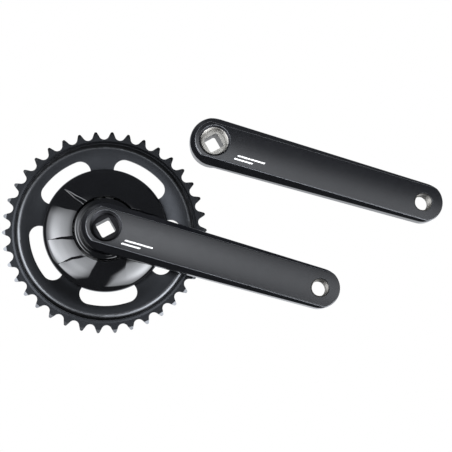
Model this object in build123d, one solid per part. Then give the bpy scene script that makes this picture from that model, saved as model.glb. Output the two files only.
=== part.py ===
from build123d import *
import math
import os

# Bicycle crankset: a right-hand crank with its chainring and guard disc, and the loose left crank.
#
# Frame (millimetres): the origin is on the spindle axis, in the middle of the chainring teeth.
# +X runs along both crank arms, from the spindle axis to the pedal axis.
# +Y runs along the spindle axis towards the bicycle, so the outer faces look towards -Y.
# +Z is up.

# ---- driving sizes -------------------------------------------------------------------------
CRANK_LENGTH = 170.0        # spindle axis to pedal axis, a standard length
OUTER_FACE_Y = -28.0        # flat outer face of both arms
BLADE_THICKNESS = 12.5      # of an arm between its outer face and its flat back
EYE_THICKNESS = 14.0        # of an arm around the pedal hole
HUB_BACK_Y = 1.0            # inner end of the hub of both arms

BOSS_RADIUS = 18.9          # rounded spindle end of an arm, seen from outside
END_RADIUS = 15.6           # rounded pedal end
FACE_BOSS_RADIUS = 15.0     # flat outer face at the spindle end, inside its cone bevel
FACE_HALF_AT_BOSS = 13.3    # half width of the flat outer face at the spindle axis
FACE_HALF_AT_PEDAL = 11.4   # half width of the flat outer face at the pedal axis
HUB_RADIUS = 15.5           # round hub behind the arm
LEFT_BOSS_RADIUS = 18.0     # deep round boss behind the blade of the left arm
LEFT_BOSS_BACK_Y = -9.5
LEFT_BOSS_BLEND = 1.5       # cone between that boss and the hub
EDGE_ROUND = 0.7            # softened edges of the outer face
BEVEL_FOOT_ROUND = 2.0      # rounding where the sloping flats meet the side walls

COUNTERBORE_RADIUS = 12.0   # smooth mouth of the extractor thread
COUNTERBORE_DEPTH = 2.2
EXTRACTOR_RADIUS = 10.5     # wall of the M22 x 1 extractor thread
EXTRACTOR_DEPTH = 8.5       # from the outer face to the floor
TAPER_FRONT_SIDE = 12.0     # square taper at the floor of the extractor thread
TAPER_SLOPE = math.tan(math.radians(2.0))   # each side of the square spindle taper
TAPER_CORNER_RADIUS = 1.6
TAPER_TURN = 45.0           # the square stands on a corner relative to the arm
PEDAL_THREAD_RADIUS = 6.6   # wall of the 9/16 inch pedal thread
PEDAL_MOUTH_RADIUS = 7.5    # countersink at both ends of the pedal thread

TOOTH_COUNT = 38
CHAIN_PITCH = 12.7
ROOT_RADIUS = 73.0
TIP_RADIUS = 79.3
ROLLER_SEAT_RADIUS = 4.05
FLANK_LEAN = 21.0           # degrees between a tooth flank and the gap centre line
TIP_HALF_WIDTH = 1.25
TOOTH_PHASE = 7.5           # degrees from +X to the first tooth
RING_THICKNESS = 2.3
TIP_THICKNESS = 0.9
TIP_CHAMFER_START = 76.8    # radius where both sides of a tooth start to lean together

SHOULDER_RADIUS = 69.2      # foot of the raised shoulder inside the tooth band
SHOULDER_TOP_RADIUS = 64.9
SHOULDER_FACE_Y = -4.8      # outer surface on top of the shoulder
WEB_FACE_Y = -2.5           # outer surface of the flat web around the hub
WEB_FLAT_RADIUS = 44.5
RING_BORE_RADIUS = 19.0
STEP_GROOVE_WIDTH = 1.0     # thin groove at the foot of the shoulder
STEP_GROOVE_DEPTH = 0.8
BEAD_WIDTH = 1.5            # slope from the outer lip of that groove down to the tooth band
BEAD_HEIGHT = 0.25

WINDOW_COUNT = 5
WINDOW_CENTRE_RADIUS = 50.5
WINDOW_WIDTH = 16.0
WINDOW_HALF_ARC = 16.3      # degrees, to the centre of each round end
WINDOW_PHASE = 1.0          # degrees from +X to the middle of the first window
LAND_PHASE = WINDOW_PHASE + 180.0 / WINDOW_COUNT   # first land between two windows

CARRIER_THICKNESS = 4.0
SEAT_RADIUS = 14.5          # of the hub where the carrier sits
SPLINE_COUNT = 12
SPLINE_WIDTH = 2.4
SPLINE_HEIGHT = 0.9
CARRIER_DISC_RADIUS = 24.0
LOBE_RADIUS = 8.0
BOLT_CIRCLE_RADIUS = 27.0

CLIP_OUTER_RADIUS = 16.8
CLIP_GROOVE_RADIUS = 13.6
CLIP_THICKNESS = 1.2

BOLT_HEAD_RADIUS = 5.6
BOLT_HEAD_HEIGHT = 1.6
BOLT_SHANK_RADIUS = 3.95
SLEEVE_RADIUS = 4.95        # outside of the sleeve nut
SLEEVE_BORE_RADIUS = 4.0
SLEEVE_FLANGE_RADIUS = 6.2
SLEEVE_FLANGE_HEIGHT = 1.2
BOLT_HOLE_RADIUS = 5.05
BOLT_SOCKET = 5.0           # hexagon socket across flats
BOLT_SOCKET_DEPTH = 3.0
NUT_SLOT_WIDTH = 1.4

DISC_RADIUS = 48.0
DISC_BORE_RADIUS = 16.2
DISC_WALL = 1.6
DISC_RIM_BACK_Y = -3.3
COLLAR_INNER_RADIUS = 19.6
COLLAR_OUTER_RADIUS = 22.6
COLLAR_TOP_Y = -15.1
COLLAR_SEAT_Y = -14.5
GROOVE_DEPTH = 0.7
GROOVE_WIDTH = 4.2          # at the collar end of each tapered groove
GROOVE_TIP_RADIUS = 45.0
GROOVE_INNER_RADIUS = 25.2
GROOVE_TURNS = ((24, 60), (127, 84), (153, 141))   # degrees from +X: tip, collar end
POST_RADIUS = 3.6
POST_CIRCLE_RADIUS = 40.0
SCREW_RADIUS = 1.5
SCREW_HEAD_RADIUS = 3.1
SCREW_HEAD_HEIGHT = 1.8
SCREW_REACH = 6.0           # of the screw shank inside its post
SCREW_HOLE_RADIUS = 1.8
SCREW_SLOT_WIDTH = 0.9

LEFT_ARM_X = 61.7           # where the loose left crank lies beside the right one
LEFT_ARM_Z = 87.8

FACE_PLANE = Plane.XZ.offset(-OUTER_FACE_Y)
BLADE_BACK_Y = OUTER_FACE_Y + BLADE_THICKNESS
CARRIER_FACE_Y = WEB_FACE_Y - CARRIER_THICKNESS
WEB_BACK_Y = WEB_FACE_Y + RING_THICKNESS


# ---- shared shapes -------------------------------------------------------------------------
def disc(radius, y_from, y_to, x=0.0, z=0.0):
    """Round bar along the spindle axis between two Y levels."""
    bar = extrude(Plane.XZ * Circle(radius), amount=y_from - y_to)
    return Pos(x, y_from, z) * bar


def turned(points):
    """Solid of revolution around the spindle axis; each point is (radius, Y)."""
    profile = make_face(Polyline(*points, close=True))
    return revolve(profile, Axis.Y)


def around(shape, count, first_angle):
    """Copies of a shape placed at +X, spread evenly around the spindle axis."""
    step = 360.0 / count
    return [Rot(0, -(first_angle + k * step), 0) * shape for k in range(count)]


def polar(radius, angle):
    """Flat point at a radius and an angle in degrees from +X towards +Z."""
    turn = math.radians(angle)
    return (radius * math.cos(turn), radius * math.sin(turn))


# ---- crank arms ----------------------------------------------------------------------------
def arm_outline(boss_radius, end_radius):
    """Flat outline of an arm: two rounds joined by straight sides."""
    boss = Circle(boss_radius)
    end = Pos(CRANK_LENGTH, 0) * Circle(end_radius)
    return make_hull((boss + end).edges())


def side_bevel(side):
    """Everything beyond the sloping flat that runs along one long edge of the outer face."""
    drop = FACE_HALF_AT_BOSS - FACE_HALF_AT_PEDAL
    slope = Plane(
        origin=(0, OUTER_FACE_Y, side * FACE_HALF_AT_BOSS),
        x_dir=(CRANK_LENGTH, 0, -side * drop),
        z_dir=(0, -1, side),
    )
    reach = 3 * CRANK_LENGTH
    return slope * Box(reach, reach, 40, align=(Align.CENTER, Align.CENTER, Align.MIN))


def boss_bevel():
    """Half ring that cuts the cone bevel around the spindle end of the outer face."""
    out = 12.0
    profile = make_face(Polyline(
        (-FACE_BOSS_RADIUS, OUTER_FACE_Y),
        (-FACE_BOSS_RADIUS - out, OUTER_FACE_Y + out),
        (-FACE_BOSS_RADIUS - out, OUTER_FACE_Y - 1),
        (-FACE_BOSS_RADIUS + 1, OUTER_FACE_Y - 1),
        close=True,
    ))
    half = revolve(profile, Axis.Y, revolution_arc=90)
    other_half = revolve(profile, Axis.Y, revolution_arc=-90)
    return half + other_half


def square_taper():
    """The tapered square hole for the spindle, wider on the side of the bicycle."""
    front_y = OUTER_FACE_Y + EXTRACTOR_DEPTH - 0.5
    length = HUB_BACK_Y - front_y + 0.5
    front = TAPER_FRONT_SIDE
    back = front + 2 * length * TAPER_SLOPE
    sections = []
    for y, side in ((front_y, front), (front_y + length, back)):
        square = RectangleRounded(side, side, TAPER_CORNER_RADIUS)
        sections.append(Plane.XZ.offset(-y) * (Rot(0, 0, TAPER_TURN) * square))
    return loft(sections)


def pedal_eye_hole():
    """Threaded pedal hole with a countersink at each end."""
    back_y = OUTER_FACE_Y + EYE_THICKNESS
    lip = PEDAL_MOUTH_RADIUS - PEDAL_THREAD_RADIUS
    hole = turned([
        (0, OUTER_FACE_Y - 1),
        (PEDAL_MOUTH_RADIUS, OUTER_FACE_Y - 1),
        (PEDAL_MOUTH_RADIUS, OUTER_FACE_Y + 0.3),
        (PEDAL_THREAD_RADIUS, OUTER_FACE_Y + 0.3 + lip),
        (PEDAL_THREAD_RADIUS, back_y - lip),
        (PEDAL_MOUTH_RADIUS, back_y),
        (PEDAL_MOUTH_RADIUS, back_y + 1),
        (0, back_y + 1),
    ])
    return Pos(CRANK_LENGTH, 0, 0) * hole


def extractor_hole():
    """Counterbore and extractor thread in front of the square taper."""
    floor_y = OUTER_FACE_Y + EXTRACTOR_DEPTH
    rim = 0.5
    return turned([
        (0, OUTER_FACE_Y - 1),
        (COUNTERBORE_RADIUS + rim, OUTER_FACE_Y - 1),
        (COUNTERBORE_RADIUS + rim, OUTER_FACE_Y),
        (COUNTERBORE_RADIUS, OUTER_FACE_Y + rim),
        (COUNTERBORE_RADIUS, OUTER_FACE_Y + COUNTERBORE_DEPTH),
        (EXTRACTOR_RADIUS, OUTER_FACE_Y + COUNTERBORE_DEPTH + 0.6),
        (EXTRACTOR_RADIUS, floor_y),
        (0, floor_y),
    ])


def bevel_feet(blade):
    """Edges where the bevels around the outer face meet the side walls."""
    nearest = OUTER_FACE_Y + 2.0
    farthest = BLADE_BACK_Y - 3.0
    return [edge for edge in blade.edges() if nearest < edge.center().Y < farthest and edge.length > 5.0]


def arm_blade():
    """The long flat blade with its bevelled outer face, before the holes."""
    blade = extrude(FACE_PLANE * arm_outline(BOSS_RADIUS, END_RADIUS), amount=-BLADE_THICKNESS)
    eye_back = OUTER_FACE_Y + EYE_THICKNESS
    back_edges = blade.faces().sort_by(Axis.Y)[-1].edges()
    blade = chamfer(back_edges, 1.6)
    blade = blade - side_bevel(1) - side_bevel(-1) - boss_bevel()
    blade = fillet(bevel_feet(blade), BEVEL_FOOT_ROUND)
    face_edges = blade.faces().sort_by(Axis.Y)[0].edges()
    blade = fillet(face_edges, EDGE_ROUND)
    raised = disc(END_RADIUS - 2.0, BLADE_BACK_Y - 1, eye_back, x=CRANK_LENGTH)
    return blade + raised


def plain_arm(hub_steps):
    """An arm with its hub and all machined holes; the hub steps are (radius, Y) points."""
    arm = arm_blade() + turned(hub_steps)
    return arm - extractor_hole() - square_taper() - pedal_eye_hole()


def drive_arm():
    """Right-hand arm, its hub turned down and splined for the chainring carrier."""
    clip_y = WEB_FACE_Y + CLIP_THICKNESS
    hub = plain_arm([
        (0, BLADE_BACK_Y - 2),
        (HUB_RADIUS, BLADE_BACK_Y - 2),
        (HUB_RADIUS, CARRIER_FACE_Y),
        (SEAT_RADIUS, CARRIER_FACE_Y),
        (SEAT_RADIUS, WEB_FACE_Y),
        (CLIP_GROOVE_RADIUS, WEB_FACE_Y),
        (CLIP_GROOVE_RADIUS, clip_y),
        (SEAT_RADIUS, clip_y),
        (SEAT_RADIUS, HUB_BACK_Y - 0.8),
        (SEAT_RADIUS - 0.8, HUB_BACK_Y),
        (0, HUB_BACK_Y),
    ])
    for key in spline_keys(SEAT_RADIUS + SPLINE_HEIGHT, SPLINE_WIDTH):
        hub += key
    return hub


def spline_keys(outer_radius, width):
    """The ribs between hub and carrier."""
    length = WEB_FACE_Y - CARRIER_FACE_Y
    depth = outer_radius - SEAT_RADIUS + 1.0
    key = Box(depth, length, width, align=(Align.MAX, Align.MIN, Align.CENTER))
    return around(Pos(outer_radius, CARRIER_FACE_Y, 0) * key, SPLINE_COUNT, 0)


def left_arm():
    """Loose left-hand arm, lying beside the right one with its outer face the same way."""
    arm = plain_arm([
        (0, BLADE_BACK_Y - 2),
        (LEFT_BOSS_RADIUS, BLADE_BACK_Y - 2),
        (LEFT_BOSS_RADIUS, LEFT_BOSS_BACK_Y),
        (HUB_RADIUS, LEFT_BOSS_BACK_Y + LEFT_BOSS_BLEND),
        (HUB_RADIUS, HUB_BACK_Y - 1.2),
        (HUB_RADIUS - 1.2, HUB_BACK_Y),
        (0, HUB_BACK_Y),
    ])
    return Pos(LEFT_ARM_X, 0, LEFT_ARM_Z) * arm


# ---- chainring -----------------------------------------------------------------------------
def tooth_outline():
    """Closed outline of the toothed ring, one gap and one tooth at a time."""
    pitch_angle = 360.0 / TOOTH_COUNT
    seat_centre = ROOT_RADIUS + ROLLER_SEAT_RADIUS
    lean = math.radians(FLANK_LEAN)
    touch_x = seat_centre - ROLLER_SEAT_RADIUS * math.sin(lean)
    touch_z = ROLLER_SEAT_RADIUS * math.cos(lean)
    tip_turn = pitch_angle / 2 - math.degrees(TIP_HALF_WIDTH / TIP_RADIUS)
    shoulder_radius = TIP_RADIUS - 0.9

    def turn(point, angle):
        c, s = math.cos(math.radians(angle)), math.sin(math.radians(angle))
        return (point[0] * c - point[1] * s, point[0] * s + point[1] * c)

    pieces = []
    for k in range(TOOTH_COUNT):
        gap = TOOTH_PHASE + (k + 0.5) * pitch_angle
        low = turn((touch_x, -touch_z), gap)
        root = turn((ROOT_RADIUS, 0), gap)
        high = turn((touch_x, touch_z), gap)
        tip_near = polar(shoulder_radius, gap + tip_turn)
        tip = polar(TIP_RADIUS, gap + pitch_angle / 2)
        tip_far = polar(shoulder_radius, gap + pitch_angle - tip_turn)
        next_low = turn((touch_x, -touch_z), gap + pitch_angle)
        pieces.append(ThreePointArc(low, root, high))
        pieces.append(Line(high, tip_near))
        pieces.append(ThreePointArc(tip_near, tip, tip_far))
        pieces.append(Line(tip_far, next_low))
    return make_face(Wire(pieces))


def toothed_band():
    """Tooth band with its tips thinned on both sides."""
    half = RING_THICKNESS / 2
    half_tip = TIP_THICKNESS / 2
    foot = SHOULDER_RADIUS + STEP_GROOVE_WIDTH
    blank = extrude(Plane.XZ.offset(half) * tooth_outline(), amount=-RING_THICKNESS)
    lens = turned([
        (foot, -half),
        (TIP_CHAMFER_START, -half),
        (TIP_RADIUS + 0.1, -half_tip),
        (TIP_RADIUS + 0.1, half_tip),
        (TIP_CHAMFER_START, half),
        (foot, half),
    ])
    return blank & lens


def ring_web():
    """Raised shoulder and dished web inside the tooth band."""
    t = RING_THICKNESS
    half = t / 2
    foot = SHOULDER_RADIUS + STEP_GROOVE_WIDTH
    step_top = (SHOULDER_RADIUS, -half - 0.6)
    crown_top = (SHOULDER_TOP_RADIUS, SHOULDER_FACE_Y)
    crown = ThreePointArc(step_top, (SHOULDER_RADIUS - 1.15, -half - 2.75), crown_top)
    front = Spline(crown_top, (WEB_FLAT_RADIUS, WEB_FACE_Y), tangents=((-1, 0), (-1, 0)))
    back = Spline(
        (WEB_FLAT_RADIUS, WEB_BACK_Y),
        (SHOULDER_TOP_RADIUS - 1.0, SHOULDER_FACE_Y + t),
        tangents=((1, 0), (1, 0)),
    )
    profile = make_face([
        Polyline((foot + BEAD_WIDTH, half), (foot + BEAD_WIDTH, -half),
                 (foot, -half - BEAD_HEIGHT), (foot, -half + STEP_GROOVE_DEPTH),
                 (SHOULDER_RADIUS, -half + STEP_GROOVE_DEPTH), step_top),
        crown,
        front,
        Polyline((WEB_FLAT_RADIUS, WEB_FACE_Y), (RING_BORE_RADIUS, WEB_FACE_Y),
                 (RING_BORE_RADIUS, WEB_BACK_Y), (WEB_FLAT_RADIUS, WEB_BACK_Y)),
        back,
        Polyline((SHOULDER_TOP_RADIUS - 1.0, SHOULDER_FACE_Y + t), (SHOULDER_TOP_RADIUS, half),
                 (foot + BEAD_WIDTH, half)),
    ])
    return revolve(profile, Axis.Y)


def window():
    """One curved slot through the web, centred on +X."""
    centre_line = CenterArc((0, 0), WINDOW_CENTRE_RADIUS, -WINDOW_HALF_ARC, 2 * WINDOW_HALF_ARC)
    slot = SlotArc(centre_line, WINDOW_WIDTH)
    return extrude(Plane.XZ.offset(10) * slot, amount=-20)


def chainring():
    """One-piece stamped chainring: teeth, raised shoulder, dished web, windows and holes."""
    ring = toothed_band() + ring_web()
    for opening in around(window(), WINDOW_COUNT, WINDOW_PHASE):
        ring -= opening
    for hole in around(disc(BOLT_HOLE_RADIUS, -10, 5, x=BOLT_CIRCLE_RADIUS), WINDOW_COUNT, LAND_PHASE):
        ring -= hole
    for hole in around(disc(SCREW_HOLE_RADIUS, -10, 5, x=POST_CIRCLE_RADIUS), WINDOW_COUNT, LAND_PHASE):
        ring -= hole
    return ring


# ---- carrier and its fasteners -------------------------------------------------------------
def carrier():
    """Five-lobed plate, splined to the hub, that carries the chainring."""
    plate = disc(CARRIER_DISC_RADIUS, CARRIER_FACE_Y, WEB_FACE_Y)
    lobe = disc(LOBE_RADIUS, CARRIER_FACE_Y, WEB_FACE_Y, x=BOLT_CIRCLE_RADIUS)
    hole = disc(BOLT_HOLE_RADIUS, CARRIER_FACE_Y - 1, WEB_FACE_Y + 1, x=BOLT_CIRCLE_RADIUS)
    for piece in around(lobe, WINDOW_COUNT, LAND_PHASE):
        plate += piece
    for piece in around(hole, WINDOW_COUNT, LAND_PHASE):
        plate -= piece
    plate -= disc(SEAT_RADIUS, CARRIER_FACE_Y - 1, WEB_FACE_Y + 1)
    for key in spline_keys(SEAT_RADIUS + SPLINE_HEIGHT, SPLINE_WIDTH):
        plate -= key
    return plate


def retaining_ring():
    """Open spring ring that sits in the hub groove behind the carrier."""
    y0 = WEB_FACE_Y
    y1 = WEB_FACE_Y + CLIP_THICKNESS
    ring = disc(CLIP_OUTER_RADIUS, y0, y1) - disc(CLIP_GROOVE_RADIUS, y0 - 1, y1 + 1)
    gap = Pos(0, y0, -CLIP_OUTER_RADIUS) * Box(7, 4 * CLIP_THICKNESS, 8)
    return ring - gap


def chainring_bolt():
    """Short bolt with a hexagon socket, head on the outer side."""
    head_y = CARRIER_FACE_Y - BOLT_HEAD_HEIGHT
    tip_y = WEB_BACK_Y + 0.2
    bolt = disc(BOLT_HEAD_RADIUS, head_y, CARRIER_FACE_Y, x=BOLT_CIRCLE_RADIUS)
    bolt += disc(BOLT_SHANK_RADIUS, CARRIER_FACE_Y, tip_y, x=BOLT_CIRCLE_RADIUS)
    hexagon = Pos(BOLT_CIRCLE_RADIUS, 0) * RegularPolygon(BOLT_SOCKET / 2, 6, major_radius=False)
    socket = extrude(Plane.XZ.offset(-head_y) * hexagon, amount=-BOLT_SOCKET_DEPTH)
    return bolt - socket


def chainring_nut():
    """Slotted sleeve nut, flange on the side of the bicycle."""
    sleeve_y = CARRIER_FACE_Y + 0.6
    flange_y = WEB_BACK_Y + SLEEVE_FLANGE_HEIGHT
    nut = disc(SLEEVE_RADIUS, sleeve_y, WEB_BACK_Y, x=BOLT_CIRCLE_RADIUS)
    nut += disc(SLEEVE_FLANGE_RADIUS, WEB_BACK_Y, flange_y, x=BOLT_CIRCLE_RADIUS)
    nut -= disc(SLEEVE_BORE_RADIUS, sleeve_y - 1, flange_y + 1, x=BOLT_CIRCLE_RADIUS)
    slot = Pos(BOLT_CIRCLE_RADIUS, flange_y, 0) * Box(4 * SLEEVE_FLANGE_RADIUS, 1.4, NUT_SLOT_WIDTH)
    return nut - slot


# ---- guard disc ----------------------------------------------------------------------------
def dome_curve():
    """Outer skin of the guard disc from the collar to the rim, as (radius, Y)."""
    return Spline(
        (COLLAR_OUTER_RADIUS + 0.6, COLLAR_SEAT_Y),
        (32.0, -13.9),
        (40.0, -12.5),
        (45.0, -10.6),
        (DISC_RADIUS - 0.6, -8.6),
        (DISC_RADIUS, -7.2),
    )


def dome_solid(inset):
    """Solid behind the outer skin moved inwards by an inset."""
    top = dome_curve()
    start = top @ 0
    end = top @ 1
    edge = make_face([
        top,
        Line(end, (end.X, DISC_RIM_BACK_Y)),
        Line((end.X, DISC_RIM_BACK_Y), (0, DISC_RIM_BACK_Y)),
        Line((0, DISC_RIM_BACK_Y), (0, start.Y)),
        Line((0, start.Y), start),
    ])
    solid = revolve(edge, Axis.Y)
    if inset == 0:
        return solid
    scale_r = (DISC_RADIUS - inset) / DISC_RADIUS
    shrunk = Pos(0, inset, 0) * solid
    trim = disc(DISC_RADIUS * scale_r, -40, 10)
    return shrunk & trim


def groove_wedge(tip, inner):
    """Long thin wedge, pointed at its tip near the rim and widening towards the collar."""
    tip_x, tip_z = polar(*tip)
    inner_x, inner_z = polar(*inner)
    length = math.hypot(tip_x - inner_x, tip_z - inner_z)
    across_x = -(tip_z - inner_z) / length * GROOVE_WIDTH / 2
    across_z = (tip_x - inner_x) / length * GROOVE_WIDTH / 2
    outline = make_face(Polyline(
        (tip_x, tip_z),
        (inner_x + across_x, inner_z + across_z),
        (inner_x - across_x, inner_z - across_z),
        close=True,
    ))
    return extrude(Plane.XZ.offset(30) * outline, amount=30, dir=(0, 1, 0))


def grooves():
    """Six tapered grooves in the skin, in mirrored pairs about the arm line."""
    skin = disc(DISC_RADIUS + 5, -30, DISC_RIM_BACK_Y - 3) - dome_solid(GROOVE_DEPTH)
    cutters = []
    for side in (1, -1):
        for tip_turn, inner_turn in GROOVE_TURNS:
            tip = (GROOVE_TIP_RADIUS, side * tip_turn)
            inner = (GROOVE_INNER_RADIUS, side * inner_turn)
            cutters.append(groove_wedge(tip, inner) & skin)
    return cutters


def guard_disc():
    """Glossy domed disc with a raised collar, a deep rim, grooves and five screw posts."""
    shell = dome_solid(0) - dome_solid(DISC_WALL)
    shell += disc(DISC_RADIUS - 0.01, DISC_RIM_BACK_Y - 3, DISC_RIM_BACK_Y) - disc(
        DISC_RADIUS - DISC_WALL, DISC_RIM_BACK_Y - 4, DISC_RIM_BACK_Y + 1)
    collar = turned([
        (DISC_BORE_RADIUS, COLLAR_SEAT_Y),
        (COLLAR_INNER_RADIUS, COLLAR_SEAT_Y),
        (COLLAR_INNER_RADIUS + 0.4, COLLAR_TOP_Y),
        (COLLAR_OUTER_RADIUS - 0.4, COLLAR_TOP_Y),
        (COLLAR_OUTER_RADIUS, COLLAR_SEAT_Y),
        (COLLAR_OUTER_RADIUS + 1, COLLAR_SEAT_Y),
        (COLLAR_OUTER_RADIUS + 1, COLLAR_SEAT_Y + DISC_WALL),
        (DISC_BORE_RADIUS, COLLAR_SEAT_Y + DISC_WALL),
    ])
    body = shell + collar
    body -= disc(DISC_BORE_RADIUS, -30, 10)
    for groove in grooves():
        body -= groove
    inside = dome_solid(DISC_WALL / 2)
    post = disc(POST_RADIUS, -20, WEB_FACE_Y, x=POST_CIRCLE_RADIUS)
    bore = disc(SCREW_RADIUS, WEB_FACE_Y - SCREW_REACH - 0.5, WEB_FACE_Y + 1, x=POST_CIRCLE_RADIUS)
    for piece in around((post & inside) - bore, WINDOW_COUNT, LAND_PHASE):
        body += piece
    return body


def disc_screw():
    """Small slotted screw through a land of the chainring into a post of the guard disc."""
    head_y = WEB_BACK_Y + SCREW_HEAD_HEIGHT
    screw = disc(SCREW_RADIUS, WEB_FACE_Y - SCREW_REACH, WEB_BACK_Y, x=POST_CIRCLE_RADIUS)
    screw += disc(SCREW_HEAD_RADIUS, WEB_BACK_Y, head_y, x=POST_CIRCLE_RADIUS)
    slot = Pos(POST_CIRCLE_RADIUS, head_y, 0) * Box(4 * SCREW_HEAD_RADIUS, 1.6, SCREW_SLOT_WIDTH)
    return screw - slot


# ---- nodes ---------------------------------------------------------------------------------
def fastener_set(shape):
    """Five equal fasteners, one on each land, kept as separate solids."""
    return Compound(children=around(shape, WINDOW_COUNT, LAND_PHASE))


NODES = {
    "drive_crank_arm": drive_arm,
    "left_crank_arm": left_arm,
    "chainring": chainring,
    "chainring_carrier": carrier,
    "carrier_retaining_ring": retaining_ring,
    "chainring_bolts": lambda: fastener_set(chainring_bolt()),
    "chainring_nuts": lambda: fastener_set(chainring_nut()),
    "guard_disc": guard_disc,
    "guard_disc_screws": lambda: fastener_set(disc_screw()),
}

os.makedirs("parts", exist_ok=True)
for name, build in NODES.items():
    export_step(build(), f"parts/{name}.step")
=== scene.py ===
import bpy
import math
import numpy as np
from mathutils import Matrix, Vector


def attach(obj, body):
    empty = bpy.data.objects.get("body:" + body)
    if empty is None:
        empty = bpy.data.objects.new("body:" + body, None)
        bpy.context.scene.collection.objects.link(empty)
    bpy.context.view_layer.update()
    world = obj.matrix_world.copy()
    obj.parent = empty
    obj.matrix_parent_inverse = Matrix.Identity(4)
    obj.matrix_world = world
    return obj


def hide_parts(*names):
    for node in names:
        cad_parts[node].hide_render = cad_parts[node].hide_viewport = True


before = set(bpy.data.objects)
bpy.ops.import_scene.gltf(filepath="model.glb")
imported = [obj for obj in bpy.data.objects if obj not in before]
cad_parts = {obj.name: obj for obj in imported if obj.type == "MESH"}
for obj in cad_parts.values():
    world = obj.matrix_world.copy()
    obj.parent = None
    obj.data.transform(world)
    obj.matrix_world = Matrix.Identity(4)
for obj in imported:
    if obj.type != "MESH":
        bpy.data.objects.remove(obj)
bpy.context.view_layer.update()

# The frame: the origin is on the drive arm's spindle axis, in the middle of the chainring's thickness.
# X runs from spindle to pedal, Y towards the bicycle and Z up, so the outer faces look along -Y.
MM = 0.001

# ---- sizes shared with the CAD parts, in metres ------------------------------------------------
CRANK_LENGTH = 170.0 * MM
OUTER_FACE_Y = -28.0 * MM
DRIVE_ARM = Vector((0.0, 0.0, 0.0))                     # where each arm's spindle axis is
LEFT_ARM = Vector((61.7 * MM, 0.0, 87.8 * MM))
EXTRACTOR_RADIUS = 10.5 * MM
PEDAL_RADIUS = 6.6 * MM

# ---- camera, in metres and degrees -------------------------------------------------------------
CAMERA_TARGET = Vector((88.7 * MM, -14.0 * MM, 28.2 * MM))
CAMERA_AZIMUTH = -3.8
CAMERA_ELEVATION = -10.4
CAMERA_ROLL = 15.5
CAMERA_DISTANCE = 0.95
CAMERA_LENS = 97.5          # this and the sensor's width are in millimetres
CAMERA_SENSOR = 36.0
CAMERA_CLIP = (0.01, 100.0)

# ---- studio ------------------------------------------------------------------------------------
LIGHT_COLOUR = (0.94, 0.97, 1.02, 1.0)
BACKDROP_COLOUR = (1.0, 1.0, 1.0, 1.0)
GAP_LEAN_START = -12.0      # elevation below which the gap between the softboxes leans over
BEHIND_EDGE = (0.0, 0.3)    # the part behind fades in over these values of the direction's Y
BEHIND_TOP = (62.0, 42.0)   # and over these elevations
BEHIND_BOTTOM = (-62.0, -34.0)
ROOM_DIM = 0.12             # brightness of the dark part of the room
ROOM_BEHIND = 1.0           # and of the part behind the object
FLOOR_HEIGHT = -0.45
FLOOR_REACH = 6.0
FLOOR_CELLS = 12
KEY_LIGHT_WATTS = 36.0
KEY_LIGHT_SIZE = (1.2, 0.8)
KEY_LIGHT_PLACE = (-0.3, -1.2, 1.3)
KEY_LIGHT_AIM = (0.08, 0.0, 0.0)

# ---- guard disc, in millimetres and degrees from +X --------------------------------------------
DOME_START = 23.6           # radius where the steps begin
DOME_STEPS = 5
COLLAR_BLEND = 1.2          # over which the steps grow in from the collar
CORNER_GAP = 0.03           # from a corner of the collar to the point that keeps its flat flat
MIN_WALL = 0.05             # least width of a step's wall
STEPPED_DEPTH = -9.5        # the steps are cut only where the shell lies in front of this
COLUMN_RADII = (23.0, 45.0)     # outside these radii the mesh columns run straight
GROWTH_LIMIT = 1.1          # FAULT: has to be 1.0, because above it a power of 1.5 gives NaN
DISC_SHARP_ANGLE = 50.0
STEP_RADII = (25.0, 34.0, 44.5)     # where each step's collar, middle and rim angles are given
WALL_COLUMNS = 8
POST_COUNT = 5
POST_CIRCLE = 40.0
POST_SIDES = 32
LAND_PHASE = 37.0           # angle of the first post

# ---- threads, in metres ------------------------------------------------------------------------
THREAD_SIDES = 64
THREAD_SHARP_ANGLE = 40.0
THREAD_CLEARANCE = 0.03 * MM        # between the ridge's foot and the wall of the hole
RIDGE_FOOT, RIDGE_CREST = (0.12, 0.88), (0.44, 0.56)        # start and end, as shares of the pitch
EXTRACTOR_PITCH, EXTRACTOR_DEPTH = 1.0 * MM, 0.5 * MM
EXTRACTOR_SPAN = (OUTER_FACE_Y + 2.9 * MM, OUTER_FACE_Y + 8.4 * MM)
PEDAL_PITCH, PEDAL_DEPTH = 1.27 * MM, 0.55 * MM
PEDAL_SPAN = (OUTER_FACE_Y + 1.3 * MM, OUTER_FACE_Y + 13.0 * MM)

# ---- printed bars, in millimetres from the spindle axis ----------------------------------------
MARK_X = {"drive": 14.8, "left": 18.2}
MARK_Z = -6.6
MARK_HEIGHT = 1.2
MARK_PITCH = 2.9
MARK_SLANT = 0.5
MARK_LIFTS = (0.02, 0.06)   # inner and outer side, out from the arm's face
MARK_BARS = ((2.0, 22.0), (0.0, 15.0))      # start and length of each bar
BAR_CORNER_STEPS = 8

# ---- noise, in grains per metre ----------------------------------------------------------------
BLOTCHES = 90.0             # slow changes of tone
GLOSS_PATCHES = 260.0
METAL_BLOTCHES = 400.0
# blotches of the darker metal deep in the bore
DEEP_METAL_BLOTCHES = 900.0
ARM_GRAIN = 3200.0
RING_GRAIN = 4000.0
GRAIN_DETAIL = 2.0
NOISE_ROUGHNESS = 0.55

# ---- surface of the chainring ------------------------------------------------------------------
CROWN_SHEEN_INNER = (64.2 * MM, 66.2 * MM)        # radii over which the shoulder's painted highlight band fades in
CROWN_SHEEN_OUTER = (69.4 * MM, 69.0 * MM)        # and out
TOOTH_TIPS = (76.6 * MM, 77.0 * MM)
RING_BLACK = ((0.014, 0.0147, 0.016), (0.0185, 0.0193, 0.021))
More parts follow.
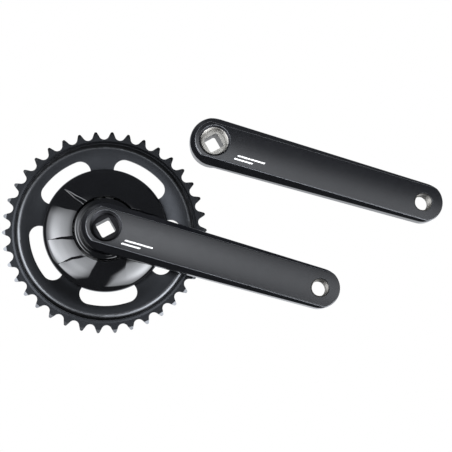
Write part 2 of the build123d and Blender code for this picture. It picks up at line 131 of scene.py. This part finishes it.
# lighter metal for the rubbed tooth tips and for the shoulder's painted highlight band
RING_RUB_AND_SHEEN = (0.056, 0.0575, 0.06, 1.0)
RING_ROUGHNESS = (0.32, 0.4)
# smoother on the same rubbed tips and painted shoulder band
RUB_AND_SHEEN_SMOOTHER = 0.06
RING_GRAIN_DEPTH = 1.0e-5

# ---- surface of the arms -----------------------------------------------------------------------
ARM_BLACK = ((0.0032, 0.0035, 0.0046), (0.0054, 0.0058, 0.0074))
# dull, dark metal in the bore and counterbore: painted shade in the recess
ARM_HOLE_SHADE = (0.013, 0.013, 0.014, 1.0)
# lighter metallic band on the face's edge: a painted highlight line
ARM_EDGE_SHEEN = (0.13, 0.134, 0.142, 1.0)
BARE_METAL = ((0.25, 0.24, 0.22), (0.34, 0.33, 0.305))
# darker, browner metal deeper in the bore, past SQUARE_START
DEEP_SQUARE_METAL = ((0.045, 0.041, 0.036), (0.1, 0.092, 0.082))
ARM_ROUGHNESS = (0.14, 0.2)
# extra roughness on the painted edge highlight band, and on bare and hole metal
EDGE_SHEEN_ROUGHER, METAL_ROUGHER = 0.42, 0.26
FACE_CROWN = 1.6            # the bump falls by this times the squared distance from the arm's axis
GRAIN_HEIGHT = 3.0e-6

# ---- where those surfaces change, in millimetres -----------------------------------------------
EYE_WALL = (0.35, 0.25)     # past the pedal hole's radius
BORE_WALL = (0.35, 0.2)     # past the bore's radius
# HOLE_WALL and HOLE_START bound the painted shade in the hole
HOLE_WALL = (1.6, 1.55)
FACE_END = (0.6, 0.1)       # this and the rest are depths below the outer face
# depths of the painted highlight band round the face's edge
EDGE_START, EDGE_END = (0.02, 0.12), (0.6, 0.3)
HOLE_START = (0.6, 0.8)
BORE_START = (2.3, 2.9)
SQUARE_START = (8.6, 8.9)


# ---- camera ------------------------------------------------------------------------------------
def make_camera():
    """Camera below and a little left of the object, rolled so the arms slope down to the right."""
    azimuth, elevation = math.radians(CAMERA_AZIMUTH), math.radians(CAMERA_ELEVATION)
    roll = math.radians(CAMERA_ROLL)
    away = Vector((
        math.sin(azimuth) * math.cos(elevation),
        -math.cos(azimuth) * math.cos(elevation),
        math.sin(elevation),
    ))
    data = bpy.data.cameras.new("camera")
    data.type = "PERSP"
    data.sensor_width = CAMERA_SENSOR
    data.lens = CAMERA_LENS
    data.clip_start, data.clip_end = CAMERA_CLIP
    camera = bpy.data.objects.new("camera", data)
    bpy.context.scene.collection.objects.link(camera)
    look = (-away).to_track_quat("-Z", "Y").to_matrix().to_4x4()
    place = Matrix.Translation(CAMERA_TARGET + away * CAMERA_DISTANCE)
    camera.matrix_world = place @ look @ Matrix.Rotation(roll, 4, "Z")
    bpy.context.scene.camera = camera


# ---- node helpers ------------------------------------------------------------------------------
class Nodes:
    """Short way to write shader node trees as sums and products."""

    def __init__(self, tree):
        self.tree = tree

    def new(self, kind, **settings):
        node = self.tree.nodes.new(kind)
        for name, value in settings.items():
            setattr(node, name, value)
        return node

    def put(self, socket, value):
        if isinstance(value, bpy.types.NodeSocket):
            self.tree.links.new(value, socket)
        else:
            socket.default_value = value

    def math(self, operation, *values):
        node = self.new("ShaderNodeMath", operation=operation)
        for socket, value in zip(node.inputs, values):
            self.put(socket, value)
        return node.outputs[0]

    def add(self, *values):
        total = values[0]
        for value in values[1:]:
            total = self.math("ADD", total, value)
        return total

    def mul(self, *values):
        total = values[0]
        for value in values[1:]:
            total = self.math("MULTIPLY", total, value)
        return total

    def ramp(self, value, low, high):
        """0 below low, 1 above high, smooth between them; low may be the larger one."""
        node = self.new("ShaderNodeMapRange", interpolation_type="SMOOTHSTEP", clamp=True)
        self.put(node.inputs["Value"], value)
        self.put(node.inputs["From Min"], low)
        self.put(node.inputs["From Max"], high)
        return node.outputs[0]

    def hill(self, value, centre, width):
        """Bell curve of a value."""
        away = self.mul(self.math("SUBTRACT", value, centre), 1.0 / width)
        return self.math("EXPONENT", self.mul(away, away, -1.0))

    def split(self, vector):
        node = self.new("ShaderNodeSeparateXYZ")
        self.put(node.inputs[0], vector)
        return node.outputs


# ---- light -------------------------------------------------------------------------------------
def soft_box(n, azimuth, elevation, left, right, low, high, base, peak, centre, spread):
    """Radiance of one softbox by direction, in degrees; each edge is a pair (where, softness)."""
    edges = n.mul(
        n.ramp(azimuth, n.math("SUBTRACT", left[0], left[1]), n.math("ADD", left[0], left[1])),
        n.ramp(azimuth, n.math("ADD", right[0], right[1]), n.math("SUBTRACT", right[0], right[1])),
        n.ramp(elevation, n.math("SUBTRACT", low[0], low[1]), n.math("ADD", low[0], low[1])),
        n.ramp(elevation, n.math("ADD", high[0], high[1]), n.math("SUBTRACT", high[0], high[1])),
    )
    glow = n.mul(n.hill(azimuth, centre[0], spread[0]), n.hill(elevation, centre[1], spread[1]))
    return n.mul(edges, n.add(base, n.mul(glow, peak)))


def make_world():
    """Room lit behind the object and dark in front of it, but for two low softboxes and a dim card."""
    world = bpy.data.worlds.new("studio")
    bpy.context.scene.world = world
    world.use_nodes = True
    tree = world.node_tree
    tree.nodes.clear()
    n = Nodes(tree)
    direction = n.new("ShaderNodeTexCoord").outputs["Generated"]
    x, y, z = n.split(direction)
    to_degrees = math.degrees(1.0)
    azimuth = n.mul(n.math("ARCTAN2", x, n.mul(y, -1.0)), to_degrees)
    elevation = n.mul(n.math("ARCSINE", z), to_degrees)
    below = n.math("MAXIMUM", n.math("SUBTRACT", GAP_LEAN_START, elevation), 0.0)
    left = soft_box(
        n, azimuth, elevation,
        left=(-64.0, 5.0), right=(n.math("SUBTRACT", -9.0, n.mul(below, 0.3)), 3.5),
        low=(-36.0, 4.0), high=(12.0, 5.0),
        base=3.4, peak=14.5, centre=(-27.0, -8.0), spread=(18.0, 16.0))
    right = soft_box(
        n, azimuth, elevation,
        left=(n.math("ADD", 6.5, n.mul(below, 0.34)), 3.0), right=(64.0, 5.0),
        low=(-41.0, 4.0), high=(0.0, 2.0),
        base=5.0, peak=15.0, centre=(38.0, -13.0), spread=(21.0, 13.0))
    card = soft_box(
        n, azimuth, elevation,
        left=(-3.0, 2.5), right=(40.0, 10.0), low=(4.5, 2.0), high=(13.5, 2.5),
        base=2.3, peak=3.5, centre=(-3.0, 9.0), spread=(5.0, 6.0))
    behind = n.mul(
        n.ramp(y, *BEHIND_EDGE), n.ramp(elevation, *BEHIND_TOP), n.ramp(elevation, *BEHIND_BOTTOM))
    room = n.add(ROOM_DIM, n.mul(behind, ROOM_BEHIND))
    lit = n.new("ShaderNodeBackground")
    lit.inputs["Color"].default_value = LIGHT_COLOUR
    n.put(lit.inputs["Strength"], n.add(room, left, right, card))
    seen = n.new("ShaderNodeBackground")
    seen.inputs["Color"].default_value = BACKDROP_COLOUR
    ray = n.new("ShaderNodeLightPath")
    mix = n.new("ShaderNodeMixShader")
    n.put(mix.inputs["Fac"], ray.outputs["Is Camera Ray"])
    n.put(mix.inputs[1], lit.outputs[0])
    n.put(mix.inputs[2], seen.outputs[0])
    out = n.new("ShaderNodeOutputWorld")
    n.put(out.inputs["Surface"], mix.outputs[0])


# ---- materials ---------------------------------------------------------------------------------
def material(name):
    """Empty node material; returns it with its helper and its shader."""
    mat = bpy.data.materials.new(name)
    mat.use_nodes = True
    mat.node_tree.nodes.clear()
    n = Nodes(mat.node_tree)
    shader = n.new("ShaderNodeBsdfPrincipled")
    out = n.new("ShaderNodeOutputMaterial")
    n.put(out.inputs["Surface"], shader.outputs[0])
    return mat, n, shader


def noise(n, scale, detail=3.0):
    """Noise over the object's own coordinates; the scale is in grains per metre."""
    place = n.new("ShaderNodeTexCoord").outputs["Object"]
    node = n.new("ShaderNodeTexNoise")
    n.put(node.inputs["Vector"], place)
    node.inputs["Scale"].default_value = scale
    node.inputs["Detail"].default_value = detail
    node.inputs["Roughness"].default_value = NOISE_ROUGHNESS
    return node.outputs["Fac"]


def blend(n, factor, low, high):
    """Mix of two colours, each a value or the output of another node."""
    node = n.new("ShaderNodeMix", data_type="RGBA")
    n.put(node.inputs[0], factor)
    n.put(node.inputs[6], low)
    n.put(node.inputs[7], high)
    return node.outputs[2]


def between(n, factor, low, high):
    """Value or colour that goes from low to high with a factor."""
    if isinstance(low, tuple):
        return blend(n, factor, (*low, 1.0), (*high, 1.0))
    node = n.new("ShaderNodeMapRange")
    n.put(node.inputs["Value"], factor)
    node.inputs["To Min"].default_value = low
    node.inputs["To Max"].default_value = high
    return node.outputs[0]


def bump(n, shader, height, distance):
    """Bump on a shader; the height is multiplied by a distance in metres."""
    node = n.new("ShaderNodeBump")
    node.inputs["Strength"].default_value = 1.0
    node.inputs["Distance"].default_value = distance
    n.put(node.inputs["Height"], height)
    n.put(shader.inputs["Normal"], node.outputs[0])


def coated(name, dark, light, rough, grain, depth, metallic=0.0):
    """Coated, painted or plain metal surface: blotchy tone, uneven gloss and a fine grain.

    The grain is in grains per metre and its depth in metres.
    """
    mat, n, shader = material(name)
    shader.inputs["Metallic"].default_value = metallic
    n.put(shader.inputs["Base Color"], between(n, noise(n, BLOTCHES), dark, light))
    n.put(shader.inputs["Roughness"], between(n, noise(n, GLOSS_PATCHES), *rough))
    bump(n, shader, noise(n, grain, GRAIN_DETAIL), depth)
    return mat


def ring_material():
    """Black-oxide steel: matt flats, a lighter, smoother shoulder band that is a painted highlight,
    and rubbed tooth tips.
    """
    mat, n, shader = material("ring_black_oxide")
    shader.inputs["Metallic"].default_value = 1.0
    x, _, z = n.split(n.new("ShaderNodeTexCoord").outputs["Object"])
    radius = n.math("SQRT", n.add(n.mul(x, x), n.mul(z, z)))
    # painted highlight: a lighter, smoother band on the shoulder's crown
    crown = n.mul(n.ramp(radius, *CROWN_SHEEN_INNER), n.ramp(radius, *CROWN_SHEEN_OUTER))
    tip_rub_and_crown_sheen = n.math("MAXIMUM", crown, n.ramp(radius, *TOOTH_TIPS))
    flat = between(n, noise(n, BLOTCHES), *RING_BLACK)
    # lighter metal on the painted shoulder highlight and on the rubbed tooth tips
    n.put(shader.inputs["Base Color"], blend(n, tip_rub_and_crown_sheen, flat, RING_RUB_AND_SHEEN))
    roughness = between(n, noise(n, GLOSS_PATCHES), *RING_ROUGHNESS)
    n.put(shader.inputs["Roughness"], n.add(roughness, n.mul(tip_rub_and_crown_sheen, -RUB_AND_SHEEN_SMOOTHER)))
    bump(n, shader, noise(n, RING_GRAIN, GRAIN_DETAIL), RING_GRAIN_DEPTH)
    return mat


def radius_from(n, x, z, centre):
    """Distance from an axis along Y."""
    across = n.math("SUBTRACT", x, centre.x)
    up = n.math("SUBTRACT", z, centre.z)
    return n.math("SQRT", n.add(n.mul(across, across), n.mul(up, up)))


def ramp_past(n, value, origin, start, end):
    """Ramp between two places given in millimetres past an origin."""
    return n.ramp(value, origin + start * MM, origin + end * MM)


def arm_masks(n, x, y, z, spindle, bare_bore):
    """Where an arm is bare metal, where its face's edge gets a painted highlight band, where its hole
    gets painted shade, and where its square is.
    """
    bore = radius_from(n, x, z, spindle)
    eye = radius_from(n, x, z, spindle + Vector((CRANK_LENGTH, 0.0, 0.0)))
    in_bore = n.mul(
        ramp_past(n, bore, EXTRACTOR_RADIUS, *BORE_WALL),
        ramp_past(n, y, OUTER_FACE_Y, *BORE_START))
    in_eye = ramp_past(n, eye, PEDAL_RADIUS, *EYE_WALL)
    bare = n.math("MAXIMUM", n.mul(in_bore, bare_bore), in_eye)
    # painted highlight: a lighter band round the face's edge
    edge_sheen = n.mul(
        ramp_past(n, y, OUTER_FACE_Y, *EDGE_START),
        ramp_past(n, y, OUTER_FACE_Y, *EDGE_END))
    # painted shade: dull dark metal in the counterbore and bore
    hole = n.mul(
        ramp_past(n, bore, EXTRACTOR_RADIUS, *HOLE_WALL),
        ramp_past(n, y, OUTER_FACE_Y, *HOLE_START))
    square = ramp_past(n, y, OUTER_FACE_Y, *SQUARE_START)
    return bare, edge_sheen, hole, square


def arm_colour(n, bare, edge_sheen, hole, square):
    """Black coating, dull dark metal in the hole as painted shade, a lighter grey band on the face's
    edge as a painted highlight, and bare metal where asked.
    """
    coating = between(n, noise(n, BLOTCHES), *ARM_BLACK)
    thread = between(n, noise(n, METAL_BLOTCHES), *BARE_METAL)
    # metal turns darker and browner deeper in the bore
    deep_metal = between(n, noise(n, DEEP_METAL_BLOTCHES), *DEEP_SQUARE_METAL)
    metal = blend(n, square, thread, deep_metal)
    # painted shade in the hole
    coating = blend(n, hole, coating, ARM_HOLE_SHADE)
    # painted highlight band along the face's edge
    coating = blend(n, edge_sheen, coating, ARM_EDGE_SHEEN)
    return blend(n, bare, coating, metal)


def arm_height(n, y, z, spindle):
    """Height of an arm's bump in metres: a crowned outer face and a fine grain."""
    from_axis = n.math("SUBTRACT", z, spindle.z)
    crown = n.mul(from_axis, from_axis, -FACE_CROWN)
    on_face = ramp_past(n, y, OUTER_FACE_Y, *FACE_END)
    grain = n.mul(noise(n, ARM_GRAIN, GRAIN_DETAIL), GRAIN_HEIGHT)
    return n.add(n.mul(crown, on_face), grain)


def arm_material(name, spindle, bare_bore):
    """Satin black arm with a painted highlight band on its face's edge, painted shade in its hole and
    a bare pedal hole; bare_bore is 1 for a bare bore too.
    """
    mat, n, shader = material(name)
    x, y, z = n.split(n.new("ShaderNodeTexCoord").outputs["Object"])
    bare, edge_sheen, hole, square = arm_masks(n, x, y, z, spindle, bare_bore)
    # the painted edge highlight band and the painted hole shade are metallic and rougher
    metallic = n.math("MAXIMUM", n.math("MAXIMUM", bare, edge_sheen), hole)
    n.put(shader.inputs["Metallic"], metallic)
    n.put(shader.inputs["Base Color"], arm_colour(n, bare, edge_sheen, hole, square))
    satin = between(n, noise(n, GLOSS_PATCHES), *ARM_ROUGHNESS)
    in_metal = n.math("MAXIMUM", bare, hole)
    rougher = n.add(n.mul(edge_sheen, EDGE_SHEEN_ROUGHER), n.mul(in_metal, METAL_ROUGHER))
    n.put(shader.inputs["Roughness"], n.add(satin, rougher))
    bump(n, shader, arm_height(n, y, z, spindle), 1.0)
    return mat


def dress(node, mat):
    """Put one material on every slot of a carried-over CAD node."""
    ob = bpy.data.objects[node]
    if not ob.material_slots:
        ob.data.materials.append(mat)
    for place in ob.material_slots:
        place.material = mat


# ---- mesh helpers ------------------------------------------------------------------------------
def smooth_path(points, steps):
    """Points on a smooth curve through flat points, with a number of steps between neighbours."""
    pts = np.array(points)
    ends = np.vstack([2 * pts[0] - pts[1], pts, 2 * pts[-1] - pts[-2]])
    path = [pts[0]]
    for a, b, c, d in zip(ends, ends[1:], ends[2:], ends[3:]):
        for k in range(1, steps + 1):
            t = k / steps
            path.append(0.5 * (2 * b + (c - a) * t + (2 * a - 5 * b + 4 * c - d) * t ** 2
                               + (3 * b - a - 3 * c + d) * t ** 3))
    return np.array(path)


def mesh_piece(name, verts, faces, body, mat):
    """New mesh object that rides on a body."""
    data = bpy.data.meshes.new(name)
    data.from_pydata([tuple(v) for v in verts], [], faces)
    data.validate()
    piece = bpy.data.objects.new(name, data)
    bpy.context.scene.collection.objects.link(piece)
    data.materials.append(mat)
    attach(piece, body)
    return piece


def grid_faces(rows, columns, closed_rows=False):
    """Quads of a grid whose columns close into a ring."""
    faces = []
    last = rows if closed_rows else rows - 1
    for i in range(last):
        for j in range(columns):
            a, b = i * columns, ((i + 1) % rows) * columns
            k = (j + 1) % columns
            faces.append((a + j, a + k, b + k, b + j))
    return faces


def shade(piece, angle):
    """Smooth shading that keeps edges sharper than an angle in degrees."""
    for face in piece.data.polygons:
        face.use_smooth = True
    piece.data.set_sharp_from_angle(angle=math.radians(angle))


# ---- guard disc --------------------------------------------------------------------------------
class Step:
    """One curved step between two petals of the guard disc; angles are degrees from +X."""

    def __init__(self, rim, middle, collar, width, height, span, power, facing=1):
        self.rim, self.middle, self.collar = rim, middle, collar
        self.width, self.height, self.span = width, height, span
        self.power, self.facing = power, facing

    def centre(self, radius):
        return np.interp(radius, STEP_RADII, (self.collar, self.middle, self.rim))

    def growth(self, radius):
        """0 at the pointed end near the rim, 1 at the innermost of STEP_RADII, more inside it."""
        inner, _, outer = STEP_RADII
        return np.clip((outer - radius) / (outer - inner), 0.0, GROWTH_LIMIT)

    def half_turn(self, radius):
        """Half of the wall's width as an angle."""
        return np.degrees(np.maximum(self.width * self.growth(radius), MIN_WALL) / 2 / radius)

    def drop(self, radius, angle):
        """How far the surface lies below the plain dome at one point."""
        half = self.half_turn(radius)
        past = self.facing * ((angle - self.centre(radius) + 180.0) % 360.0 - 180.0)
        wall = np.clip((past + half) / (2 * half), 0.0, 1.0)
        run_out = np.clip((self.span - past) / (self.span - half), 0.0, 1.0)
        depth = self.height * (1.0 - (1.0 - self.growth(radius)) ** self.power)
        return depth * wall * run_out * (past > -half)


STEPS = (
    Step(rim=28.0, middle=37.0, collar=53.0, width=2.0, height=1.2, span=40.0, power=4, facing=-1),
    Step(rim=151.4, middle=149.0, collar=143.6, width=3.5, height=2.1, span=20.0, power=1.5),
    Step(rim=206.9, middle=208.2, collar=212.2, width=2.7, height=1.3, span=60.0, power=4),
    Step(rim=232.8, middle=237.8, collar=249.6, width=2.7, height=1.2, span=75.0, power=4),
)
PETAL_COLUMNS = (200, 120, 60, 250)     # mesh columns after each step


def hold_corners(points, gap):
    """Profile with an extra point close to each end of its long runs, so that they shade as flats."""
    held = [points[0]]
    for a, b in zip(points, points[1:]):
        run = np.subtract(b, a)
        length = float(np.hypot(*run))
        if length > 4 * gap:
            held.append(tuple(a + run * gap / length))
            held.append(tuple(b - run * gap / length))
        held.append(b)
    return held


def disc_front():
    """Outer profile of the guard disc from its bore to the back of its rim, in millimetres."""
    collar = [(16.2, -14.5), (19.3, -14.5), (19.45, -14.56), (19.6, -14.78), (19.72, -14.82),
              (20.85, -14.76), (21.1, -14.62), (21.25, -14.59), (22.9, -14.5), (23.2, -14.4),
              (23.4, -14.38), (23.6, -14.37)]
    dome = smooth_path([(24.0, -14.36), (28.0, -14.15), (32.0, -13.8), (36.0, -13.25), (40.0, -12.4),
                        (43.0, -11.4), (45.5, -10.1), (47.2, -8.7), (47.9, -7.2)], DOME_STEPS)
    rim = [(48.0, -6.4), (48.0, -3.5), (47.8, -3.3), (46.6, -3.3)]
    return np.array(hold_corners(collar, CORNER_GAP) + [tuple(p) for p in dome] + rim)


def disc_columns(radius):
    """Angles of the mesh columns at one radius: they follow the walls of the steps."""
    marks = []
    for step in STEPS:
        centre, half = step.centre(radius), step.half_turn(radius)
        marks.append((centre - half, centre + half))
    columns = []
    for k, (start, end) in enumerate(marks):
        following = marks[(k + 1) % len(marks)][0]
        if following < end:
            following += 360.0
        columns.extend(np.linspace(start, end, WALL_COLUMNS, endpoint=False))
        columns.extend(np.linspace(end, following, PETAL_COLUMNS[k], endpoint=False))
    return np.array(columns)


def disc_shell():
    """Vertices and faces of the closed shell: its front, then its back, both with the steps."""
    front = disc_front()
    back = [(46.4, -3.6), (46.4, -6.5), (46.0, -8.0), (44.0, -9.3), (40.0, -10.6), (32.0, -11.4),
            (24.2, -11.6), (23.0, -12.9), (16.2, -12.9)]
    verts = []
    for radius, depth in [*front, *back]:
        angles = disc_columns(np.clip(radius, *COLUMN_RADII))
        drop = np.zeros(len(angles))
        if DOME_START < radius < STEP_RADII[2] and depth < STEPPED_DEPTH:
            for step in STEPS:
                drop += step.drop(radius, angles)
        turn = np.radians(angles)
        drop *= np.clip((radius - DOME_START) / COLLAR_BLEND, 0.0, 1.0)
        y = np.full(len(turn), depth) + drop
        verts.extend(zip(radius * np.cos(turn), y, radius * np.sin(turn)))
    rows = len(front) + len(back)
    columns = len(STEPS) * WALL_COLUMNS + sum(PETAL_COLUMNS)
    return np.array(verts) * MM, grid_faces(rows, columns, closed_rows=True)


def disc_posts():
    """Five hollow posts behind the disc that take the screws."""
    profile = [(3.6, -9.6), (3.6, -2.9), (3.2, -2.5), (1.9, -2.5), (1.55, -2.9),
               (1.5, -8.6), (0.05, -8.6)]
    verts, faces = [], []
    for k in range(POST_COUNT):
        where = math.radians(LAND_PHASE + 360.0 / POST_COUNT * k)
        first = len(verts)
        for radius, depth in profile:
            for j in range(POST_SIDES):
                turn = 2 * math.pi * j / POST_SIDES
                verts.append((
                    POST_CIRCLE * math.cos(where) + radius * math.cos(turn),
                    depth,
                    POST_CIRCLE * math.sin(where) + radius * math.sin(turn),
                ))
        faces.extend(tuple(v + first for v in face) for face in grid_faces(len(profile), POST_SIDES))
    return np.array(verts) * MM, faces


def make_disc(mat):
    """Guard disc with its stepped petals, double collar, deep rim and posts."""
    verts, faces = disc_shell()
    post_verts, post_faces = disc_posts()
    faces = faces + [tuple(v + len(verts) for v in face) for face in post_faces]
    verts = np.vstack([verts, post_verts])
    piece = mesh_piece("guard_disc_shell", verts, faces, "drive_crank", mat)
    shade(piece, DISC_SHARP_ANGLE)
    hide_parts("guard_disc")


# ---- threads and marks -------------------------------------------------------------------------
def make_thread(name, centre, radius, depth, pitch, span, body, mat):
    """Screw thread on the wall of a hole: a ridge that winds around the hole's axis."""
    y_from, y_to = span
    count = int((y_to - y_from) / pitch * THREAD_SIDES)
    shape = ((0.0, 0.0), (RIDGE_FOOT[0], 0.0), (RIDGE_CREST[0], depth),
             (RIDGE_CREST[1], depth), (RIDGE_FOOT[1], 0.0), (1.0, 0.0))
    verts = []
    for k in range(count + 1):
        turn = 2 * math.pi * k / THREAD_SIDES
        start = y_from + pitch * k / THREAD_SIDES
        for along, rise in shape:
            wall = radius - THREAD_CLEARANCE - rise
            y = min(start + along * pitch, y_to)
            verts.append((centre.x + wall * math.cos(turn), y, centre.z + wall * math.sin(turn)))
    width = len(shape)
    faces = [
        (k * width + j, k * width + j + 1, (k + 1) * width + j + 1, (k + 1) * width + j)
        for k in range(count) for j in range(width - 1)
    ]
    piece = mesh_piece(name, verts, faces, body, mat)
    shade(piece, THREAD_SHARP_ANGLE)


def bar_outline(length, height, slant):
    """Corners of a slanted bar with rounded ends, as (along, up) in millimetres."""
    radius = height / 2
    corners = []
    for end in (1, -1):
        for k in range(BAR_CORNER_STEPS + 1):
            turn = end * math.pi / 2 - math.pi * k / BAR_CORNER_STEPS
            along = end * (length / 2 - radius) + radius * math.cos(turn)
            up = radius * math.sin(turn)
            corners.append((along + slant * up, up))
    return corners


def make_marks(side, spindle, body, mat):
    """Two plain printed bars on an arm's outer face."""
    verts, faces = [], []
    for row, (start, length) in enumerate(MARK_BARS):
        outline = bar_outline(length, MARK_HEIGHT, MARK_SLANT)
        first = len(verts)
        size = len(outline)
        for lift in MARK_LIFTS:
            for along, up in outline:
                x = MARK_X[side] + start + length / 2 + along
                z = MARK_Z - MARK_PITCH * row + up
                verts.append((spindle.x + x * MM, OUTER_FACE_Y - lift * MM, spindle.z + z * MM))
        faces.append(tuple(range(first, first + size)))
        faces.append(tuple(range(first + 2 * size - 1, first + size - 1, -1)))
        for k in range(size):
            following = (k + 1) % size
            faces.append((first + k, first + size + k, first + size + following, first + following))
    mesh_piece(side + "_arm_marks", verts, faces, body, mat)


def make_floor(mat):
    """Pale studio floor well below the object."""
    places = [FLOOR_REACH * (2 * k / FLOOR_CELLS - 1) for k in range(FLOOR_CELLS + 1)]
    verts = [(x, y, FLOOR_HEIGHT) for x in places for y in places]
    faces = []
    for i in range(FLOOR_CELLS):
        for j in range(FLOOR_CELLS):
            a = i * (FLOOR_CELLS + 1) + j
            faces.append((a, a + FLOOR_CELLS + 1, a + FLOOR_CELLS + 2, a + 1))
    data = bpy.data.meshes.new("floor")
    data.from_pydata(verts, [], faces)
    data.materials.append(mat)
    floor = bpy.data.objects.new("floor", data)
    bpy.context.scene.collection.objects.link(floor)
    floor.visible_glossy = False


def make_key_light():
    """Soft light from above and in front, as in a plain product studio."""
    data = bpy.data.lights.new("key", "AREA")
    data.shape = "RECTANGLE"
    data.size, data.size_y = KEY_LIGHT_SIZE
    data.energy = KEY_LIGHT_WATTS
    light = bpy.data.objects.new("key", data)
    light.location = KEY_LIGHT_PLACE
    aim = Vector(KEY_LIGHT_AIM) - light.location
    light.rotation_euler = aim.to_track_quat("-Z", "Y").to_euler()
    light.visible_glossy = False
    light.visible_camera = False
    bpy.context.scene.collection.objects.link(light)


# ---- scene -------------------------------------------------------------------------------------
bpy.context.scene.view_settings.view_transform = "Standard"
make_camera()
make_world()

gloss = coated(
    "disc_gloss_black", dark=(0.0026, 0.0028, 0.0034), light=(0.0042, 0.0045, 0.0054),
    rough=(0.03, 0.05), grain=1500.0, depth=1.0e-6)
spring = coated(
    "phosphated_spring", dark=(0.03, 0.03, 0.032), light=(0.055, 0.055, 0.057),
    rough=(0.4, 0.5), grain=4000.0, depth=1.0e-5, metallic=1.0)
zinc = coated(
    "zinc_plated_screws", dark=(0.42, 0.42, 0.41), light=(0.58, 0.58, 0.56),
    rough=(0.28, 0.4), grain=4000.0, depth=1.0e-5, metallic=1.0)
steel = coated(
    "black_steel", dark=(0.01, 0.01, 0.01), light=(0.02, 0.02, 0.02),
    rough=(0.45, 0.6), grain=4000.0, depth=1.0e-5)
bare = coated(
    "bare_thread_metal", dark=(0.16, 0.153, 0.14), light=(0.24, 0.23, 0.212),
    rough=(0.4, 0.5), grain=3000.0, depth=4.0e-6, metallic=1.0)
dark_thread = coated(
    "dark_thread_metal", dark=(0.012, 0.012, 0.013), light=(0.022, 0.022, 0.023),
    rough=(0.34, 0.42), grain=3000.0, depth=4.0e-6, metallic=1.0)
ink = coated(
    "white_ink", dark=(0.72, 0.72, 0.72), light=(0.85, 0.85, 0.85),
    rough=(0.4, 0.5), grain=5000.0, depth=1.0e-5)
pale = coated(
    "pale_floor", dark=(0.78, 0.78, 0.77), light=(0.84, 0.84, 0.83),
    rough=(0.6, 0.7), grain=300.0, depth=2.0e-4)

DRESSES = (
    ("drive_crank_arm", arm_material("drive_arm_satin", DRIVE_ARM, 0.0)),
    ("left_crank_arm", arm_material("left_arm_satin", LEFT_ARM, 1.0)),
    ("chainring", ring_material()),
    ("chainring_carrier", steel),
    ("carrier_retaining_ring", spring),
    ("chainring_bolts", steel),
    ("chainring_nuts", steel),
    ("guard_disc_screws", zinc),
)
for node, mat in DRESSES:
    dress(node, mat)

make_disc(gloss)
SIDES = (
    ("drive", DRIVE_ARM, "drive_crank", dark_thread),
    ("left", LEFT_ARM, "left_crank", bare),
)
for side, spindle, body, bore_metal in SIDES:
    pedal = spindle + Vector((CRANK_LENGTH, 0.0, 0.0))
    make_thread(side + "_extractor_thread", spindle, EXTRACTOR_RADIUS, EXTRACTOR_DEPTH,
                EXTRACTOR_PITCH, EXTRACTOR_SPAN, body, bore_metal)
    make_thread(side + "_pedal_thread", pedal, PEDAL_RADIUS, PEDAL_DEPTH,
                PEDAL_PITCH, PEDAL_SPAN, body, bare)
    make_marks(side, spindle, body, ink)
make_floor(pale)
make_key_light()
